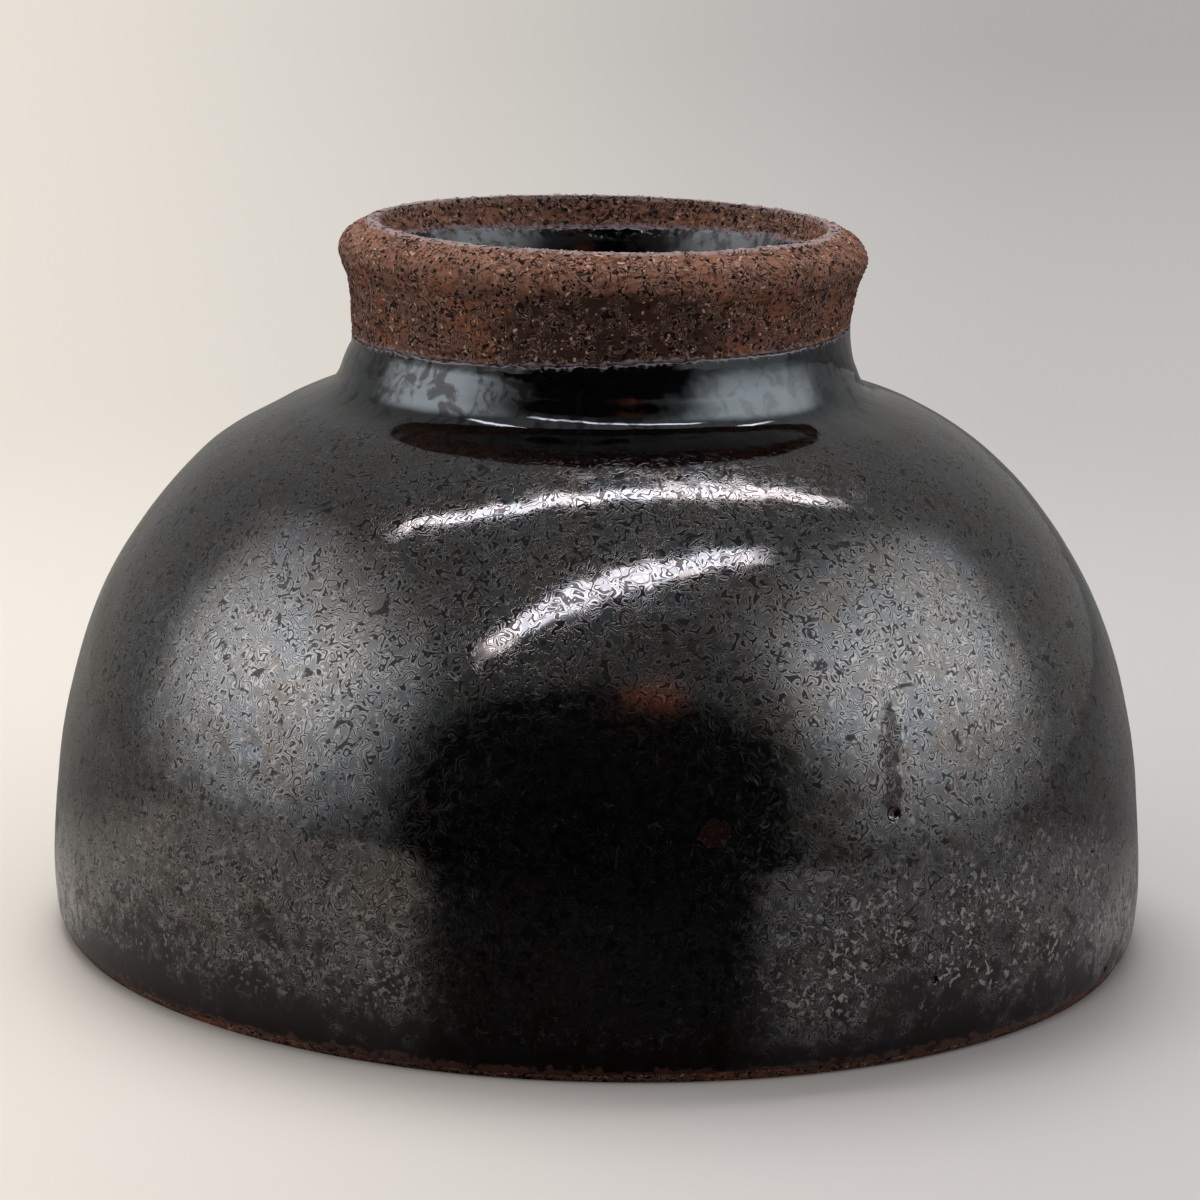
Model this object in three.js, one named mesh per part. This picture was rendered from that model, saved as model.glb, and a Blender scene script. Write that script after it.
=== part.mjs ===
// Tea bowl in dark iron glaze, turned over on its lip so that the splayed foot ring stands on top.
// Units are millimetres and +Z is up. The origin is the centre of the lip's rest plane.
// Every piece is turned from a profile of [radius, height] points and then settled: the small drift,
// swell and wavy glaze lines of a hand-thrown bowl move all the pieces alike, so they stay seated.
import * as THREE from 'three';

// Outside of the bowl, over the glaze
const LIP_RADIUS = 59.3;
const LIP_ROUND = 1.9;
const BELLY_RADIUS = 60.9;
const BELLY_HEIGHT = 6.0;
const FLANK_RADIUS = 59.2;
const FLANK_HEIGHT = 25.0;
const HAUNCH_RADIUS = 54.55;
const HAUNCH_HEIGHT = 39.0;
const SHOULDER_RADIUS = 44.9;
const SHOULDER_HEIGHT = 52.0;
const NECK_RADIUS = 28.2;
const NECK_COVE = 2.6;
const BODY_HEIGHT = 63.5;

// Foot ring, thrown apart and luted to the bowl
const FOOT_HEIGHT = 15.0;
const FOOT_WAIST_RADIUS = 27.4;
const FOOT_WAIST_RISE = 4.2;
const FOOT_EDGE_RADIUS = 29.0;
const FOOT_EDGE_DROP = 3.4;
const FOOT_BEVEL = 0.7;
const FOOT_CREST_RADIUS = 25.2;
const FOOT_CREST_LAND = 1.2;
const RECESS_MOUTH_RADIUS = 23.6;
const RECESS_WAIST_RADIUS = 21.8;
const RECESS_TOE_RADIUS = 18.0;

// Walls of the bowl, and the shallow pool in its floor
const LIP_LAND = 1.4;
const LIP_WALL = 3.4;
const BELLY_WALL = 5.0;
const SHOULDER_WALL = 7.0;
const FLOOR_WALL = 6.5;
const POOL_RADIUS = 19.0;
const POOL_DEPTH = 1.4;

// Glaze coats
const GLAZE = 0.5;
const NECK_GLAZE = 1.1;
const NECK_GLAZE_SPREAD = 3.0;
const GLAZE_EDGE = 0.2;
const GLAZE_TAPER = 4.0;
const LIP_BARE_HEIGHT = 0.8;
const FOOT_GLAZE_LINE = 3.45;
const RECESS_BARE_DEPTH = 3.1;

// Unevenness left by the hands and the kiln
const FOOT_DRIFT = 0.9;
const WALL_LEAN = 0.2;
const WALL_SWELL = 0.2;
const NECK_TILT = 0.6;
const FOOT_LINE_TILT = 1.1;
const FOOT_LINE_WAVE = 0.12;
const RECESS_LINE_WAVE = 0.35;
const LIP_LINE_WAVE = 0.2;

// Fineness of the turned forms
const TURNS = 50;
const WALL_STEPS = 20;
const FOOT_STEPS = 12;
const WELL_STEPS = 15;
const RECESS_STEPS = 8;

const CLAY = { color: 0x5a3a2c, roughness: 0.95, metalness: 0.0 };
const IRON_GLAZE = { color: 0x17130f, roughness: 0.22, metalness: 0.0 };

const crestHeight = BODY_HEIGHT + FOOT_HEIGHT;
const wellHeight = BODY_HEIGHT - FLOOR_WALL;
const footLineHeight = BODY_HEIGHT + FOOT_GLAZE_LINE;
const recessLineHeight = crestHeight - RECESS_BARE_DEPTH;
const lerp = THREE.MathUtils.lerp;
const neckHeight = lerp(SHOULDER_HEIGHT, BODY_HEIGHT, 0.5);

/** A smooth profile through stations given as [radius, height]. */
function smooth(stations, steps) {
  const through = stations.map(([r, z]) => new THREE.Vector3(r, z, 0));
  const curve = new THREE.CatmullRomCurve3(through, false, 'centripetal');
  return curve.getPoints(steps).map((p) => new THREE.Vector2(Math.max(p.x, 0), p.y));
}

/** The profile moved to its left by a depth given for each of its points. */
function sunk(points, depths) {
  return points.map((p, i) => {
    const before = points[Math.max(i - 1, 0)];
    const after = points[Math.min(i + 1, points.length - 1)];
    const along = after.clone().sub(before).normalize();
    return new THREE.Vector2(Math.max(p.x - along.y * depths[i], 0), p.y + along.x * depths[i]);
  });
}

/** Depth of a coat at each point of a profile, thin at the edges named by their index. */
function coatDepths(points, first, last, edges, depthAt = () => GLAZE) {
  return points.map((p, i) => {
    if (i < first || i > last) return 0;
    const fromEdge = Math.min(...edges.map((edge) => p.distanceTo(points[edge])));
    return lerp(GLAZE_EDGE, depthAt(p), Math.min(fromEdge / GLAZE_TAPER, 1));
  });
}

/** How much of a wave at a line reaches a height: all at the line, none at the reach or beyond. */
function nearLine(height, line, reach) {
  const away = Math.min(Math.abs(height - line) / reach, 1);
  return Math.cos(away * Math.PI / 2) ** 2;
}

/** Moves a turned point to where the hands and the kiln left it. */
function settled(point) {
  const turn = Math.atan2(point.x, -point.y);
  const reach = Math.hypot(point.x, point.y);
  const onFoot = THREE.MathUtils.smoothstep(point.z, lerp(SHOULDER_HEIGHT, BODY_HEIGHT, -0.2), BODY_HEIGHT);
  const swell = WALL_SWELL * Math.sin(2 * turn + 0.3) * (1 - onFoot) * reach / BELLY_RADIUS;
  const footLine = FOOT_LINE_TILT * Math.sin(turn) + FOOT_LINE_WAVE * Math.sin(5 * turn);
  const recessLine = reach < FOOT_CREST_RADIUS ? RECESS_LINE_WAVE * Math.sin(3 * turn + 1) : 0;
  const lipLine = LIP_LINE_WAVE * Math.sin(7 * turn);
  const tilt = NECK_TILT * point.x / SHOULDER_RADIUS;
  const rise = footLine * nearLine(point.z, footLineHeight, FOOT_GLAZE_LINE)
    + recessLine * nearLine(point.z, recessLineHeight, RECESS_BARE_DEPTH)
    + lipLine * nearLine(point.z, LIP_BARE_HEIGHT, LIP_BARE_HEIGHT)
    + tilt * nearLine(point.z, neckHeight, BODY_HEIGHT - neckHeight);
  const lean = WALL_LEAN * nearLine(point.z, BODY_HEIGHT / 2, BODY_HEIGHT / 2);
  const out = reach > 0 ? 1 + swell / reach : 1;
  return new THREE.Vector3(point.x * out - FOOT_DRIFT * onFoot - lean, point.y * out, point.z + rise);
}

/** Triangles of a turned shape, each facet split from its lower corner so that two faces in contact match. */
function facets(profile) {
  const corners = [];
  for (let turn = 0; turn < TURNS; turn += 1) {
    for (let row = 0; row < profile.length - 1; row += 1) {
      const a = turn * profile.length + row;
      const b = a + profile.length;
      const [here, next] = [profile[row], profile[row + 1]];
      const climbs = next.y > here.y || (next.y === here.y && next.x > here.x);
      corners.push(...(climbs ? [a, b, a + 1, b + 1, a + 1, b] : [a, b, b + 1, a, b + 1, a + 1]));
    }
  }
  return corners;
}

/** Turns a closed profile about Z and settles it. */
function turned(name, profile, finish) {
  const shape = new THREE.LatheGeometry(profile, TURNS);
  shape.setIndex(facets(profile));
  shape.rotateX(Math.PI / 2);
  const places = shape.attributes.position;
  for (let i = 0; i < places.count; i += 1) {
    const moved = settled(new THREE.Vector3().fromBufferAttribute(places, i));
    places.setXYZ(i, moved.x, moved.y, moved.z);
  }
  shape.computeVertexNormals();
  const mesh = new THREE.Mesh(shape, new THREE.MeshStandardMaterial(finish));
  mesh.name = name;
  return mesh;
}

// Outside, from the lip's outer edge to the foot's crest
const wall = smooth([
  [LIP_RADIUS, 0],
  [lerp(LIP_RADIUS, BELLY_RADIUS, 0.7), LIP_ROUND],
  [BELLY_RADIUS, BELLY_HEIGHT],
  [lerp(BELLY_RADIUS, FLANK_RADIUS, 0.12), lerp(BELLY_HEIGHT, FLANK_HEIGHT, 0.33)],
  [FLANK_RADIUS, FLANK_HEIGHT],
  [HAUNCH_RADIUS, HAUNCH_HEIGHT],
  [SHOULDER_RADIUS, SHOULDER_HEIGHT],
  [lerp(SHOULDER_RADIUS, NECK_RADIUS, 0.54), lerp(SHOULDER_HEIGHT, BODY_HEIGHT, 0.52)],
  [NECK_RADIUS + NECK_COVE / 2, BODY_HEIGHT - NECK_COVE],
  [NECK_RADIUS, BODY_HEIGHT],
], WALL_STEPS);
const foot = smooth([
  [NECK_RADIUS, BODY_HEIGHT],
  [lerp(NECK_RADIUS, FOOT_WAIST_RADIUS, 0.85), BODY_HEIGHT + FOOT_WAIST_RISE / 2],
  [FOOT_WAIST_RADIUS, BODY_HEIGHT + FOOT_WAIST_RISE],
  [lerp(FOOT_WAIST_RADIUS, FOOT_EDGE_RADIUS, 0.4), lerp(BODY_HEIGHT + FOOT_WAIST_RISE,
    crestHeight - FOOT_EDGE_DROP, 0.6)],
  [FOOT_EDGE_RADIUS, crestHeight - FOOT_EDGE_DROP],
  [FOOT_EDGE_RADIUS - FOOT_BEVEL, crestHeight - FOOT_EDGE_DROP / 2],
  [FOOT_CREST_RADIUS + FOOT_CREST_LAND / 2, crestHeight],
], FOOT_STEPS);
const outside = [...wall, ...foot.slice(1)];
const seam = wall.length - 1;
const lipEdge = outside.findIndex((p) => p.y > LIP_BARE_HEIGHT);
const footLine = outside.findIndex((p) => p.y >= footLineHeight);
outside[lipEdge].y = LIP_BARE_HEIGHT;
outside[footLine].y = footLineHeight;
const rolled = (p) => GLAZE + (NECK_GLAZE - GLAZE)
  * Math.exp(-(((p.y - BODY_HEIGHT) / NECK_GLAZE_SPREAD) ** 2));
const outerClay = sunk(outside, coatDepths(outside, lipEdge, footLine, [lipEdge, footLine], rolled));
outerClay[seam].y = BODY_HEIGHT;

// Well, from the middle of the bowl's floor down to the lip's inner edge
const side = wall.filter((p) => p.y > BELLY_HEIGHT && p.y <= SHOULDER_HEIGHT);
const sideWalls = side.map((p) => lerp(BELLY_WALL, SHOULDER_WALL,
  (p.y - BELLY_HEIGHT) / (SHOULDER_HEIGHT - BELLY_HEIGHT)));
const wellSide = sunk(side, sideWalls).reverse();
const well = smooth([
  [0, wellHeight],
  [POOL_RADIUS - 2 * POOL_DEPTH, wellHeight],
  [POOL_RADIUS, wellHeight - POOL_DEPTH],
  ...wellSide.map((p) => [p.x, p.y]),
  [LIP_RADIUS - LIP_WALL, LIP_ROUND],
  [LIP_RADIUS - LIP_LAND, 0],
], WELL_STEPS);
const wellEdge = well.findLastIndex((p) => p.y > LIP_BARE_HEIGHT);
well[wellEdge].y = LIP_BARE_HEIGHT;
const wellClay = sunk(well, coatDepths(well, 0, wellEdge, [wellEdge]));
wellClay[0].x = 0;

// Recess inside the foot ring, from the crest's inner edge to the middle of its floor
const recess = smooth([
  [FOOT_CREST_RADIUS - FOOT_CREST_LAND / 2, crestHeight],
  [RECESS_MOUTH_RADIUS, recessLineHeight],
  [RECESS_WAIST_RADIUS, lerp(recessLineHeight, BODY_HEIGHT, 0.4)],
  [lerp(RECESS_TOE_RADIUS, RECESS_WAIST_RADIUS, 0.5), lerp(recessLineHeight, BODY_HEIGHT, 0.75)],
  [RECESS_TOE_RADIUS, BODY_HEIGHT + GLAZE],
], RECESS_STEPS);
recess.push(new THREE.Vector2(0, BODY_HEIGHT + GLAZE));
const toe = recess.length - 2;
const recessEdge = recess.findIndex((p) => p.y <= recessLineHeight);
recess[recessEdge].y = recessLineHeight;
const recessClay = sunk(recess, coatDepths(recess, recessEdge, toe + 1, [recessEdge]));
recessClay[toe].y = BODY_HEIGHT;
recessClay[toe + 1].set(0, BODY_HEIGHT);

const bowlBody = [...wellClay, ...outerClay.slice(0, seam + 1), recessClay[toe + 1]];
const footRing = [recessClay[toe], ...outerClay.slice(seam), ...recessClay.slice(0, toe + 1)];
const outerGlaze = [
  outerClay[lipEdge], ...outside.slice(lipEdge, footLine + 1),
  ...outerClay.slice(lipEdge, footLine + 1).reverse()];
const wellGlaze = [
  ...well.slice(0, wellEdge + 1), ...wellClay.slice(0, wellEdge + 1).reverse()];
const recessGlaze = [
  ...recessClay.slice(recessEdge).reverse(), ...recess.slice(recessEdge)];

const teaBowl = new THREE.Group();
teaBowl.add(
  turned('bowl_body', bowlBody, CLAY),
  turned('foot_ring', footRing, CLAY),
  turned('outer_glaze', outerGlaze, IRON_GLAZE),
  turned('well_glaze', wellGlaze, IRON_GLAZE),
  turned('recess_glaze', recessGlaze, IRON_GLAZE),
);
export default teaBowl;
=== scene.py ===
"""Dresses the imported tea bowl: fine turned surfaces, iron glaze, bare clay and plain studio light."""
import logging
import math
from dataclasses import dataclass, field
from enum import Enum

import bpy
import numpy as np
from mathutils import Matrix, Vector

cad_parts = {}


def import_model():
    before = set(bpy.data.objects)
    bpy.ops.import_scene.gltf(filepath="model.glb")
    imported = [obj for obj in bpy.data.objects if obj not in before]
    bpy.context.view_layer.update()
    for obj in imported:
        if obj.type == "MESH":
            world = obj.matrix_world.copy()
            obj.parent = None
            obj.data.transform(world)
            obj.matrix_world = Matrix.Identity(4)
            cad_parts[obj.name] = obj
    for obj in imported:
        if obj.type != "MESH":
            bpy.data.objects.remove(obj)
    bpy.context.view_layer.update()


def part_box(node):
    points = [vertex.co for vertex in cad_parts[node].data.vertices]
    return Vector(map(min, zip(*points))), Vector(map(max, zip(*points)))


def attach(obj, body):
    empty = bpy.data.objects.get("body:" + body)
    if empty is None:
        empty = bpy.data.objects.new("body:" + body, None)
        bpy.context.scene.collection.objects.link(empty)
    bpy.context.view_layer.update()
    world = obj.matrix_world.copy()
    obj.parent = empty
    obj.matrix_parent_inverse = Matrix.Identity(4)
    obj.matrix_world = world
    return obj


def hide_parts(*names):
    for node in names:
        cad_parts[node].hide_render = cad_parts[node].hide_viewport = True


MM = 0.001
LOG = logging.getLogger("tea_bowl")

Point = tuple[float, float]
Place = tuple[float, float, float]
Colour = tuple[float, float, float, float]
Socket = bpy.types.NodeSocket

# Rows behind a rolled edge, in radii of its bead
BEAD_ROWS = (1.6, 2.2, 3.0)
# Vertices that are matched to an outline at a time
BATCH = 20000
# Values of the pits' texture at a pit's floor and at its mouth
PIT_RAMP = (0.30, 0.42)


class Relief(Enum):
    """Kinds of relief that a displacement can press into a surface."""

    WAVES = "CLOUDS"
    PITS = "DISTORTED_NOISE"
    GRAINS = "VORONOI"


def blend(first: float, second: float, share: float) -> float:
    """Go from the first value to the second by a share."""
    return first + (second - first) * share


def smooth(stations: list[Point], steps: int) -> list[Point]:
    """Draw a centripetal Catmull-Rom curve through stations.

    Args:
        stations: Radius and height of each station.
        steps: Steps over the whole curve.

    Returns:
        The points of the curve.
    """
    knots = [np.array(station) for station in stations]
    knots = [2 * knots[0] - knots[1], *knots, 2 * knots[-1] - knots[-2]]
    spans = len(stations) - 1
    drawn = []
    for step in range(steps + 1):
        along = step / steps * spans
        span = min(int(along), spans - 1)
        share = along - span
        before, start, end, after = knots[span:span + 4]
        gaps = (start - before, end - start, after - end)
        first, middle, last = (math.sqrt(np.linalg.norm(gap)) for gap in gaps)
        leave = (start - before) / first - (end - before) / (first + middle) + (end - start) / middle
        reach = (end - start) / middle - (after - start) / (middle + last) + (after - end) / last
        leave, reach = leave * middle, reach * middle
        place = start + share * leave
        place = place + share ** 2 * (3 * (end - start) - 2 * leave - reach)
        place = place + share ** 3 * (2 * (start - end) + leave + reach)
        drawn.append((max(float(place[0]), 0.0), float(place[1])))
    return drawn


def between(points: list[Point], low: float, high: float) -> list[Point]:
    """Cut a rising curve to the stretch between two heights.

    Args:
        points: Radius and height along the curve.
        low: Height at which it starts.
        high: Height at which it ends.

    Returns:
        The stretch, with its ends exactly at the two heights.
    """
    heights = [height for _, height in points]
    radii = [radius for radius, _ in points]
    inside = [point for point in points if low < point[1] < high]
    ends = [(float(np.interp(cut, heights, radii)), cut) for cut in (low, high)]
    return [ends[0], *inside, ends[1]]


def sunk(points: list[Point], depths: list[float] | np.ndarray) -> list[Point]:
    """Move a curve to its left by a depth given for each point.

    Args:
        points: Radius and height along the curve.
        depths: How deep each point goes.

    Returns:
        The moved curve.
    """
    places = np.array(points)
    ahead = np.vstack([places[1:], places[-1:]]) - np.vstack([places[:1], places[:-1]])
    ahead /= np.linalg.norm(ahead, axis=1, keepdims=True)
    moved = places + np.stack([-ahead[:, 1], ahead[:, 0]], axis=1) * np.array(depths)[:, None]
    return [(max(float(radius), 0.0), float(height)) for radius, height in moved]


def run_length(points: list[Point]) -> np.ndarray:
    """Measure how far along a curve each of its points lies."""
    steps = np.linalg.norm(np.diff(np.array(points), axis=0), axis=1)
    return np.concatenate([[0.0], np.cumsum(steps)])


def heights_of(points: list[Point]) -> np.ndarray:
    """Read the heights of a curve's points."""
    return np.array(points)[:, 1]


def first_under(points: list[Point], height: float) -> int:
    """Find the first point of a curve that lies under a height."""
    return next(index for index, point in enumerate(points) if point[1] < height)


def nearness(away: np.ndarray, reach: float) -> np.ndarray:
    """Say how near points are: one where they touch, nought from the reach on."""
    return np.clip(1 - away / reach, 0, 1)


def rolled_off(points: list[Point], at_start: bool, at_end: bool, bead: float) -> list[Point]:
    """Roll the ends of a coat's outer curve down like a bead, with rows close enough to shade crisply.

    Args:
        points: The curve.
        at_start: Whether its start is rolled.
        at_end: Whether its end is rolled.
        bead: Radius of the bead.

    Returns:
        The curve with its rolled ends.
    """
    run = run_length(points)
    total = float(run[-1])
    reach = BEAD_ROWS[-1] * bead
    near = [bead * (1 - math.cos(turn)) for turn in np.linspace(0, math.pi / 2, 5)]
    near += [row * bead for row in BEAD_ROWS]
    stops = [stop for stop in run if (stop > reach or not at_start) and (total - stop > reach or not at_end)]
    stops += near if at_start else []
    stops += [total - stop for stop in near] if at_end else []
    stops = np.array(sorted(stops))
    places = np.array(points)
    drawn = [(float(np.interp(s, run, places[:, 0])), float(np.interp(s, run, places[:, 1]))) for s in stops]
    away = np.full(len(stops), bead)
    if at_start:
        away = np.minimum(away, stops)
    if at_end:
        away = np.minimum(away, total - stops)
    return sunk(drawn, bead - np.sqrt(np.maximum(bead ** 2 - (bead - away) ** 2, 0)))


def thinned(points: list[Point], every: int) -> list[Point]:
    """Keep one point in a few of a curve that nothing shows, and its last."""
    return [*points[:-1:every], points[-1]]


@dataclass(frozen=True)
class BowlForm:
    """Driving sizes of the bowl in metres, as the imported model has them.

    Attributes:
        belly_radius: Widest radius.
        body_height: Height of the seam between bowl and foot ring.
        crest_height: Height of the foot ring's crest.
    """

    belly_radius: float
    body_height: float
    crest_height: float
    lip_radius: float = 59.3 * MM
    lip_round: float = 1.9 * MM
    belly_height: float = 6.0 * MM
    flank: Point = (59.2 * MM, 25.0 * MM)
    haunch: Point = (54.55 * MM, 39.0 * MM)
    shoulder: Point = (44.9 * MM, 52.0 * MM)
    neck_radius: float = 28.2 * MM
    neck_cove: float = 2.6 * MM
    waist_radius: float = 27.4 * MM
    waist_rise: float = 4.2 * MM
    edge_radius: float = 29.0 * MM
    edge_drop: float = 3.4 * MM
    bevel: float = 0.7 * MM
    crest_radius: float = 25.2 * MM
    crest_land: float = 1.2 * MM
    mouth_radius: float = 23.6 * MM
    recess_waist_radius: float = 21.8 * MM
    toe_radius: float = 18.0 * MM
    lip_land: float = 1.4 * MM
    lip_wall: float = 3.4 * MM
    belly_wall: float = 5.0 * MM
    shoulder_wall: float = 7.0 * MM
    floor_wall: float = 6.5 * MM
    pool_radius: float = 19.0 * MM
    pool_depth: float = 1.4 * MM
    glaze: float = 0.5 * MM
    neck_glaze: float = 1.1 * MM
    neck_spread: float = 3.0 * MM
    glaze_edge: float = 0.2 * MM
    glaze_taper: float = 4.0 * MM
    lip_bare: float = 0.8 * MM
    foot_line_rise: float = 3.45 * MM
    recess_bare: float = 3.1 * MM
    foot_drift: float = 0.9 * MM
    wall_lean: float = 0.2 * MM
    wall_swell: float = 0.2 * MM
    swell_turn: float = 0.3
    neck_tilt: float = 0.6 * MM
    foot_line_tilt: float = 1.1 * MM
    foot_line_wave: float = 0.12 * MM
    recess_line_wave: float = 0.35 * MM
    lip_line_wave: float = 0.2 * MM

    @classmethod
    def of_frame(cls) -> "BowlForm":
        """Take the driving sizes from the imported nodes."""
        low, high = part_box("outer_glaze")
        belly_radius = (high[1] - low[1]) / 2 - cls.wall_swell * cls.swell_turn
        return cls(belly_radius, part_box("bowl_body")[1][2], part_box("foot_ring")[1][2])

    @property
    def foot_line(self) -> float:
        """Height of the glaze line on the foot ring."""
        return self.body_height + self.foot_line_rise

    @property
    def recess_line(self) -> float:
        """Height of the glaze line in the recess."""
        return self.crest_height - self.recess_bare

    def wall(self, steps: int) -> list[Point]:
        """Outside of the bowl, from the lip up to the seam."""
        lip, belly, flank, neck = self.lip_radius, self.belly_radius, self.flank, self.neck_radius
        shoulder = self.shoulder
        return smooth([
            (lip, 0.0),
            (blend(lip, belly, 0.7), self.lip_round),
            (belly, self.belly_height),
            (blend(belly, flank[0], 0.12), blend(self.belly_height, flank[1], 0.33)),
            flank,
            self.haunch,
            shoulder,
            (blend(shoulder[0], neck, 0.54), blend(shoulder[1], self.body_height, 0.52)),
            (neck + self.neck_cove / 2, self.body_height - self.neck_cove),
            (neck, self.body_height),
        ], steps)

    def foot(self, steps: int) -> list[Point]:
        """Outside of the foot ring, from the seam up to the crest."""
        waist, edge, seam = self.waist_radius, self.edge_radius, self.body_height
        edge_height = self.crest_height - self.edge_drop
        return smooth([
            (self.neck_radius, seam),
            (blend(self.neck_radius, waist, 0.85), seam + self.waist_rise / 2),
            (waist, seam + self.waist_rise),
            (blend(waist, edge, 0.4), blend(seam + self.waist_rise, edge_height, 0.6)),
            (edge, edge_height),
            (edge - self.bevel, self.crest_height - self.edge_drop / 2),
            (self.crest_radius + self.crest_land / 2, self.crest_height),
        ], steps)

    def recess(self, steps: int) -> list[Point]:
        """Wall of the recess, from the crest down to its toe."""
        line, seam = self.recess_line, self.body_height
        return smooth([
            (self.crest_radius - self.crest_land / 2, self.crest_height),
            (self.mouth_radius, line),
            (self.recess_waist_radius, blend(line, seam, 0.4)),
            (blend(self.toe_radius, self.recess_waist_radius, 0.5), blend(line, seam, 0.75)),
            (self.toe_radius, seam + self.glaze),
        ], steps)

    def well(self, steps: int) -> list[Point]:
        """Inside of the bowl, from the middle of its floor down to the lip."""
        top = self.body_height - self.floor_wall
        low, high = self.belly_height, self.shoulder[1]
        side = between(self.wall(200), low, high)[::20]
        depths = [blend(self.belly_wall, self.shoulder_wall, (z - low) / (high - low)) for _, z in side]
        return smooth([
            (0.0, top),
            (self.pool_radius - 2 * self.pool_depth, top),
            (self.pool_radius, top - self.pool_depth),
            *sunk(side, depths)[::-1],
            (self.lip_radius - self.lip_wall, self.lip_round),
            (self.lip_radius - self.lip_land, 0.0),
        ], steps)

    def coat(self, points: list[Point], from_start: bool, from_end: bool,
             rolled: bool = False) -> np.ndarray:
        """Depth of a coat of glaze along a curve.

        Args:
            points: The coat's outer curve.
            from_start: Whether the coat thins towards the curve's start.
            from_end: Whether it thins towards the curve's end.
            rolled: Whether it gathers thick at the neck.

        Returns:
            The depth at each point.
        """
        run = run_length(points)
        full = np.full(len(points), self.glaze)
        if rolled:
            away = (heights_of(points) - self.body_height) / self.neck_spread
            full += (self.neck_glaze - self.glaze) * np.exp(-away ** 2)
        share = np.ones(len(points))
        if from_start:
            share = np.minimum(share, run / self.glaze_taper)
        if from_end:
            share = np.minimum(share, (run[-1] - run) / self.glaze_taper)
        return self.glaze_edge + (full - self.glaze_edge) * share

    def settle(self, places: np.ndarray) -> np.ndarray:
        """Move turned points to where the hands and the kiln left them.

        Args:
            places: Places of the points, one row each.

        Returns:
            The moved places.
        """
        turn = np.arctan2(places[:, 0], -places[:, 1])
        reach = np.hypot(places[:, 0], places[:, 1])
        height = places[:, 2]
        start = blend(self.shoulder[1], self.body_height, -0.2)
        share = np.clip((height - start) / (self.body_height - start), 0, 1)
        on_foot = share * share * (3 - 2 * share)
        swell = self.wall_swell * np.sin(2 * turn + self.swell_turn) * (1 - on_foot) / self.belly_radius
        foot = self.foot_line_tilt * np.sin(turn) + self.foot_line_wave * np.sin(5 * turn)
        recess = np.where(reach < self.crest_radius, self.recess_line_wave * np.sin(3 * turn + 1), 0)
        lip = self.lip_line_wave * np.sin(7 * turn)
        neck = blend(self.shoulder[1], self.body_height, 0.5)
        tilt = self.neck_tilt * places[:, 0] / self.shoulder[0]
        lean = self.wall_lean * self.near(height, self.body_height / 2, self.body_height / 2)
        moved = places.copy()
        moved[:, 0] = places[:, 0] * (1 + swell) - self.foot_drift * on_foot - lean
        moved[:, 1] = places[:, 1] * (1 + swell)
        moved[:, 2] += foot * self.near(height, self.foot_line, self.foot_line_rise)
        moved[:, 2] += recess * self.near(height, self.recess_line, self.recess_bare)
        moved[:, 2] += lip * self.near(height, self.lip_bare, self.lip_bare)
        moved[:, 2] += tilt * self.near(height, neck, self.body_height - neck)
        return moved

    @staticmethod
    def near(height: np.ndarray, line: float, reach: float) -> np.ndarray:
        """Say how much of a wave at a line reaches each height: all at the line, none at the reach."""
        return np.cos(np.minimum(np.abs(height - line) / reach, 1) * math.pi / 2) ** 2


@dataclass
class Outline:
    """Closed or axis-to-axis outline of a turned piece, with values that its surface carries.

    Attributes:
        points: Radius and height along the outline.
        marks: Values along the outline, by the name of the attribute that holds them.
    """

    points: list[Point] = field(default_factory=list)
    marks: dict[str, list[float]] = field(default_factory=dict)

    def add(self, points: list[Point], **marks: float | np.ndarray) -> None:
        """Add a stretch of the outline.

        Args:
            points: Its points.
            marks: A value, or one for each point, for each named attribute.
        """
        for name, values in marks.items():
            kept = self.marks.setdefault(name, [0.0] * len(self.points))
            kept.extend([values] * len(points) if isinstance(values, float) else values)
        self.points.extend(points)
        for kept in self.marks.values():
            kept.extend([0.0] * (len(self.points) - len(kept)))


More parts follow.
